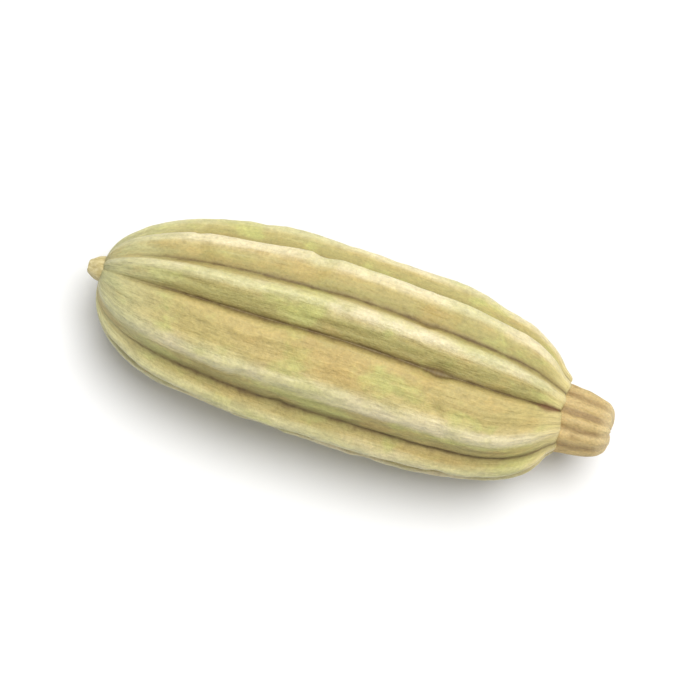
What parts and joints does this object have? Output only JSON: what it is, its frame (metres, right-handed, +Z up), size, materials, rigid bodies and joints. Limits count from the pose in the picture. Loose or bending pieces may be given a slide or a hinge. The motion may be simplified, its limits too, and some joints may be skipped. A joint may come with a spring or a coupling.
{
  "type": "fennel seed",
  "caption": "Dried fennel seed: a ribbed straw-green fruit with a dark seam, a blunt cleft tan tip and a stalk scar at its base",
  "frame": {"origin": "under the middle of the seed's bounding box, on the surface it rests on", "axes": "+X along the seed from its stalk scar to its tip, +Y across it, +Z up from the surface it rests on"},
  "size_m": [0.0082, 0.003, 0.0025],
  "materials": {
    "dried_seed_skin": "matte dried plant skin"
  },
  "bodies": {
    "root": {"fennel_seed": "dried_seed_skin"}
  },
  "joints": []
}
